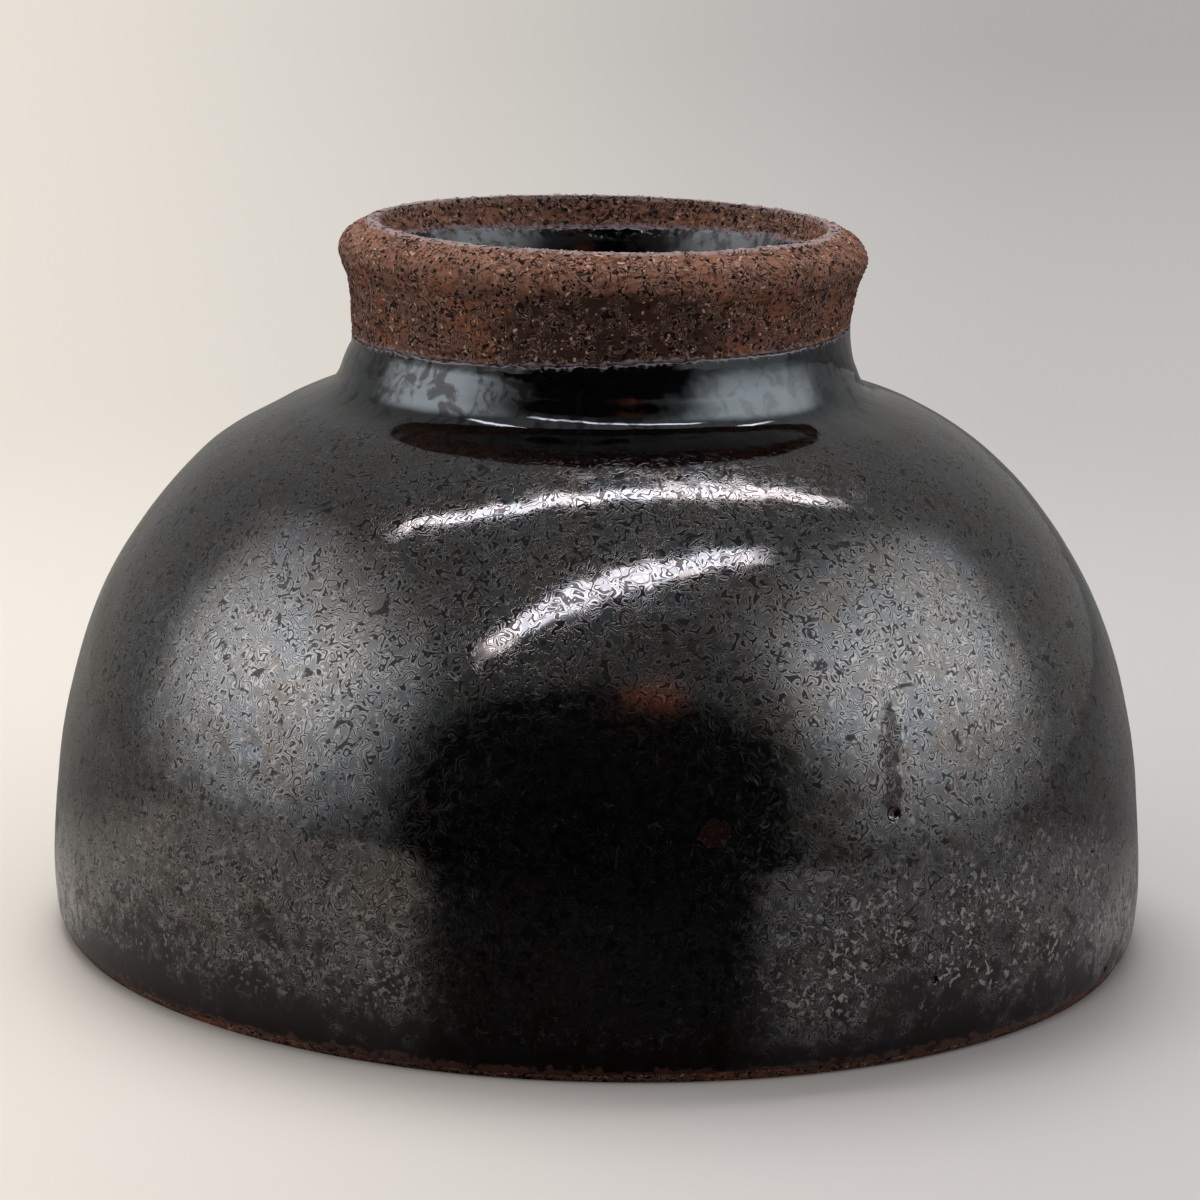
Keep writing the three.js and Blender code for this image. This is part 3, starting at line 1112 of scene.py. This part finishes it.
@dataclass
class OuterGlaze(Work):
    """The coat outside, from the lip over the shoulder to the line on the foot ring.

    Attributes:
        columns: Steps of the full turn.
        rows: Rows from lip to seam.
        foot_rows: Rows from seam to crest, of which those under the glaze line are kept.
        flows: Width and depth of each kind of wave in the melted glaze.
        line_reach: How far from the line on the foot ring the glaze is pale and frayed.
        pinhole_depth: How deep each pinhole goes.
        pinholes: Place and width of each pinhole.
    """

    columns: int = 600
    rows: int = 116
    foot_rows: int = 60
    flows: tuple = ((14.0 * MM, 0.22 * MM), (2.2 * MM, 0.05 * MM))
    line_reach: float = 2.2 * MM
    pinhole_depth: float = 0.42 * MM
    pinholes: tuple = (
        ((29.5 * MM, -50.9 * MM, 26.2 * MM), 0.75 * MM),
        ((52.3 * MM, -29.9 * MM, 16.7 * MM), 0.40 * MM),
        ((34.5 * MM, -50.1 * MM, 8.5 * MM), 0.40 * MM),
        ((54.5 * MM, -26.2 * MM, 2.6 * MM), 0.40 * MM),
        ((-46.0 * MM, 31.0 * MM, 30.0 * MM), 0.60 * MM),
    )

    def build(self) -> bpy.types.Object:
        """Turn the coat and give its skin the flow of melted glaze.

        Returns:
            The piece.
        """
        form = self.turner.form
        outside = [*form.wall(self.rows), *form.foot(self.foot_rows)[1:]]
        whole = between(outside, form.lip_bare, form.foot_line)
        inside = thinned(sunk(whole, form.coat(whole, True, True, True))[::-1], 6)
        skin = rolled_off(whole, True, True, form.glaze_edge)
        run = run_length(skin)
        near_line = nearness(run[-1] - run, self.line_reach)
        near_lip = nearness(run, self.lip_reach)
        flowing = np.clip(np.minimum(run, run[-1] - run) / self.still, 0, 1)
        outline = Outline()
        outline.add(skin, near_line=near_line, near_lip=near_lip, flowing=flowing, frayed=near_line)
        outline.add(inside[1:-1])
        outline.add([skin[0]], near_lip=1.0)
        coat = self.turner.turn("outer_glaze_coat", outline, self.columns)
        for width, depth in self.flows:
            self.turner.press(coat, Relief.WAVES, width, depth, "flowing")
        self.fray(coat)
        for place, width in self.pinholes:
            self.turner.prick(coat, place, width, self.pinhole_depth)
        return coat


@dataclass
class InnerGlazes(Work):
    """The coats in the bowl's well and in the recess of the foot ring.

    Attributes:
        line_reach: How far from its line the recess's glaze is pale and frayed.
        well_cells: Rows and columns of the well's coat.
        recess_cells: Rows and columns of the recess's coat.
    """

    line_reach: float = 2.0 * MM
    well_cells: tuple[int, int] = (120, 400)
    recess_cells: tuple[int, int] = (110, 600)

    def well(self) -> bpy.types.Object:
        """Turn the coat in the well."""
        form = self.turner.form
        points = form.well(self.well_cells[0])
        whole = points[:first_under(points, form.lip_bare)]
        inside = thinned(sunk(whole, form.coat(whole, False, True))[::-1], 5)
        inside[-1] = (0.0, inside[-1][1])
        skin = rolled_off(whole, False, True, form.glaze_edge)
        run = run_length(skin)
        near_lip = nearness(run[-1] - run, self.lip_reach)
        flowing = np.clip((run[-1] - run) / self.still, 0, 1)
        outline = Outline()
        outline.add(skin, near_lip=near_lip, near_line=0.0, flowing=flowing)
        outline.add(inside[1:])
        coat = self.turner.turn("well_glaze_coat", outline, self.well_cells[1])
        self.turner.press(coat, Relief.WAVES, 10.0 * MM, 0.2 * MM, "flowing")
        return coat

    def recess(self) -> bpy.types.Object:
        """Turn the coat in the recess, with its frayed upper edge."""
        form = self.turner.form
        wall = form.recess(self.recess_cells[0])
        edge = first_under(wall, form.recess_line)
        floor = [(form.toe_radius * share, wall[-1][1]) for share in (0.85, 0.65, 0.4, 0.2, 0.0)]
        whole = [*wall[edge:], *floor]
        inside = sunk(whole, form.coat(whole, True, False))[:len(wall) - edge]
        inside = [*thinned(inside, 5)[1:-1], (inside[-1][0], form.body_height), (0.0, form.body_height)]
        skin = rolled_off(whole, True, False, form.glaze_edge)
        near_line = nearness(run_length(skin), self.line_reach)
        outline = Outline()
        outline.add(inside[::-1], near_line=0.0, frayed=0.0)
        outline.add(skin, near_line=near_line, frayed=near_line)
        coat = self.turner.turn("recess_glaze_coat", outline, self.recess_cells[1])
        self.fray(coat)
        return coat


@dataclass
class TeaBowl:
    """The bowl's pieces, built and dressed.

    Attributes:
        form: The bowl's sizes.
        pieces: What was built.
    """

    form: BowlForm
    pieces: list[bpy.types.Object] = field(default_factory=list)

    def build(self) -> None:
        """Build each piece, dress it, hang it under the root and hide the imported part that it stands for.
        """
        turner = Turner(self.form)
        clay = BareClay().material()
        glaze = IronGlaze().material()
        inner = InnerGlazes(turner)
        for build, node, finish, slot in (
            (BowlBody(turner).build, "bowl_body", clay, "bare_clay"),
            (FootRing(turner).build, "foot_ring", clay, "bare_clay"),
            (OuterGlaze(turner).build, "outer_glaze", glaze, "iron_glaze"),
            (inner.well, "well_glaze", glaze, "iron_glaze"),
            (inner.recess, "recess_glaze", glaze, "iron_glaze"),
        ):
            piece = build()
            piece.data.materials.clear()
            piece.data.materials.append(finish)
            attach(piece, "root")
            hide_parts(node)
            self.pieces.append(piece)


@dataclass
class Studio:
    """Camera, floor, lamps and world.

    Attributes:
        distance: Camera's distance from the bowl's axis.
        height: Camera's height over the floor.
        aside: Camera's place across.
        pitch: Downward tilt in degrees.
        roll: Turn of the frame in degrees.
        lens: Focal length in millimetres.
        cream: Colour of the paper at the left.
        grey: Colour of the paper at the right.
        far_grey: Colour of the paper far behind at the right.
        black: Painted dark colour that the floor shows only to glossy rays in front of the bowl, so that the
            bowl's front mirrors darkness; the camera sees plain paper there.
        own_glow: Light of the plain paper, as a share of what the camera sees of it.
        aim_height: Height that the lamps look at.
        watts: Power of a lamp for each square metre and unit of brightness.
    """

    distance: float = 451.2 * MM
    height: float = 134.2 * MM
    aside: float = -0.3 * MM
    pitch: float = 12.263
    roll: float = 1.363
    lens: float = 124.15
    cream: Colour = (0.82, 0.77, 0.69, 1.0)
    grey: Colour = (0.56, 0.545, 0.535, 1.0)
    far_grey: Colour = (0.425, 0.415, 0.41, 1.0)
    black: Colour = (0.01, 0.01, 0.01, 1.0)
    own_glow: float = 0.62
    aim_height: float = 0.04
    watts: float = 4.0

    def stand(self, name: str, data: bpy.types.ID, place: Place, turn: Matrix) -> bpy.types.Object:
        """Put a camera or a lamp in its place."""
        thing = bpy.data.objects.new(name, data)
        bpy.context.scene.collection.objects.link(thing)
        thing.matrix_world = Matrix.Translation(place) @ turn
        return thing

    def camera(self) -> None:
        """Place the camera as the photograph was taken."""
        data = bpy.data.cameras.new("camera")
        data.lens = self.lens
        data.clip_start = 0.01
        turn = Matrix.Rotation(math.radians(90 - self.pitch), 4, "X")
        turn = turn @ Matrix.Rotation(math.radians(self.roll), 4, "Z")
        place = (self.aside, -self.distance, self.height)
        bpy.context.scene.camera = self.stand("camera", data, place, turn)

    def paper(self, nodes: Nodes, across: Socket, along: Socket) -> Socket:
        """Colour the paper: cream at the left, grey at the right and darker far behind."""
        fan = nodes.math("DIVIDE", across, nodes.total(nodes.math("ABSOLUTE", along), 0.45))
        grey = nodes.mix(nodes.step(along, 0.1, 1.3), self.grey, self.far_grey)
        return nodes.mix(nodes.step(fan, -0.19, 0.12), self.cream, grey)

    def floor(self) -> None:
        """Lay the paper sweep: lit where the bowl stands, plain behind, and dim in the bowl's reflections."""
        bpy.ops.object.select_all(action="DESELECT")
        bpy.ops.mesh.primitive_plane_add(size=8.0, location=(0, 0, 0))
        floor = bpy.context.object
        floor.name = "floor"
        nodes = Nodes(bpy.data.materials.new("floor_paper"))
        across, along, _ = nodes.apart(nodes.place)
        rays = nodes.add("ShaderNodeLightPath")
        aside = nodes.total(nodes.math("ABSOLUTE", across), 0.025)
        ahead = nodes.most(nodes.product(along, -1.0), 0.001)
        before = nodes.step(nodes.math("DIVIDE", aside, ahead), 0.60, 0.88, 0.98, 0.0)
        far = nodes.vector("LENGTH", nodes.place)
        behind = nodes.product(nodes.step(along, -0.03, 0.05), nodes.step(far, 0.12, 0.35, 0.80, 0.57))
        dim = nodes.most(before, behind, 0.14)
        # Painted reflection: to glossy rays the floor is dark in front of the bowl and dimmer elsewhere, so
        # the bowl's front mirrors darkness where the camera sees lit paper.
        painted_dark_reflection = nodes.product(dim, rays.outputs["Is Glossy Ray"])
        shade = nodes.mix(painted_dark_reflection, self.paper(nodes, across, along), self.black)
        nodes.dress({"Base Color": shade, "Roughness": 0.42, "Specular IOR Level": 0.3})
        glow = nodes.add("ShaderNodeEmission")
        nodes.link(shade, glow.inputs["Color"])
        seen = nodes.product(rays.outputs["Is Camera Ray"], 1 - self.own_glow)
        nodes.link(nodes.total(self.own_glow, seen), glow.inputs["Strength"])
        both = nodes.add("ShaderNodeMixShader")
        plain = nodes.step(far, 0.14, 0.38)
        for socket, source in zip(both.inputs, (plain, nodes.shader.outputs[0], glow.outputs[0])):
            nodes.link(source, socket)
        nodes.link(both.outputs[0], nodes.tree.nodes["Material Output"].inputs["Surface"])
        floor.data.materials.append(nodes.owner)

    def soften(self, data: bpy.types.Light, fades: tuple[float, float]) -> None:
        """Let a soft box fade to its edges, and leave it out of reflections of reflections.

        Args:
            data: The lamp's data.
            fades: Shares of its half width and half height over which it fades.
        """
        nodes = Nodes(data, "Emission")
        spread = nodes.add("ShaderNodeNewGeometry").outputs["Parametric"]
        bounces = nodes.add("ShaderNodeLightPath").outputs["Ray Depth"]
        share = nodes.math("LESS_THAN", bounces, 2.5)
        for way, edge in zip(nodes.apart(spread), fades):
            folded = nodes.math("PINGPONG", way, 0.5)
            share = nodes.product(share, nodes.step(folded, 0.0, edge * 0.5))
        nodes.dress({"Strength": share})

    def lamp(self, name: str, place: Place, size: tuple[float, float], glow: float,
             spin: float = 0.0, fades: tuple[float, float] = (0.5, 0.5)) -> bpy.types.Object:
        """Hang one soft box that looks at the bowl.

        Args:
            name: The lamp's name.
            place: Where it hangs.
            size: Its width and height.
            glow: Brightness of its middle.
            spin: Turn about its own axis in degrees.
            fades: Shares of its half width and half height over which it fades.

        Returns:
            The lamp.
        """
        data = bpy.data.lights.new(name, "AREA")
        data.shape = "RECTANGLE"
        data.size, data.size_y = size
        data.energy = glow * self.watts * size[0] * size[1]
        self.soften(data, fades)
        aim = Vector((0, 0, self.aim_height)) - Vector(place)
        turn = aim.to_track_quat("-Z", "Y").to_matrix().to_4x4() @ Matrix.Rotation(math.radians(spin), 4, "Z")
        lamp = self.stand(name, data, place, turn)
        lamp.visible_camera = False
        return lamp

    def lamps(self) -> None:
        """Hang a wide box at each side, two strips overhead, a faint warm lamp and one that only lights."""
        self.lamp("left_box", (-0.81, -0.14, 0.41), (1.50, 1.08), 1.34, 6.0, (0.9, 0.94))
        self.lamp("right_box", (0.81, -0.14, 0.48), (1.50, 1.20), 1.05, -6.0, (0.8, 0.88))
        back = self.lamp("back_strip", (-0.04, 0.205, 0.94), (1.34, 0.085), 4.8, 9.0, (0.25, 0.25))
        front = self.lamp("front_strip", (0.03, -0.40, 0.94), (1.20, 0.105), 4.2, 27.0, (0.25, 0.25))
        for strip in (back, front):
            strip.data.color = (1.0, 0.93, 0.97)
        ember = self.lamp("warm_lamp", (0.175, -0.757, 0.629), (0.30, 0.24), 0.21, 0.0, (0.9, 0.9))
        ember.data.color = (1.0, 0.32, 0.19)
        sky = self.lamp("sky", (-0.12, 0.42, 0.95), (0.70, 0.70), 6.4)
        sky.visible_glossy = False

    def world(self) -> None:
        """Set a dim room with a dark wall round the camera, and paper where it sees past the floor."""
        world = bpy.data.worlds.new("studio")
        bpy.context.scene.world = world
        nodes = Nodes(world, "Background")
        facing = nodes.vector("DOT_PRODUCT", nodes.coordinates.outputs["Generated"], (0.0, -1.0, 0.0))
        side = nodes.step(facing, 0.35, 0.65, 0.23, 0.12)
        room = nodes.product(side, nodes.step(facing, 0.70, 0.77, 1.0, 0.08))
        seen = nodes.add("ShaderNodeMix", data_type="FLOAT")
        nodes.link(nodes.add("ShaderNodeLightPath").outputs["Is Camera Ray"], seen.inputs[0])
        nodes.link(room, seen.inputs[2])
        seen.inputs[3].default_value = 0.55
        nodes.dress({"Strength": seen.outputs[0], "Color": (1.0, 0.985, 0.96, 1.0)})


def main() -> None:
    """Build the scene in order and report each piece."""
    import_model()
    studio = Studio()
    studio.camera()
    bowl = TeaBowl(BowlForm.of_frame())
    bowl.build()
    for piece in bowl.pieces:
        LOG.info("built %s with %d faces", piece.name, len(piece.data.polygons))
    studio.floor()
    studio.lamps()
    studio.world()
    bpy.context.scene.view_settings.view_transform = "Standard"


if __name__ == "__main__":
    logging.basicConfig(level=logging.INFO)
    main()
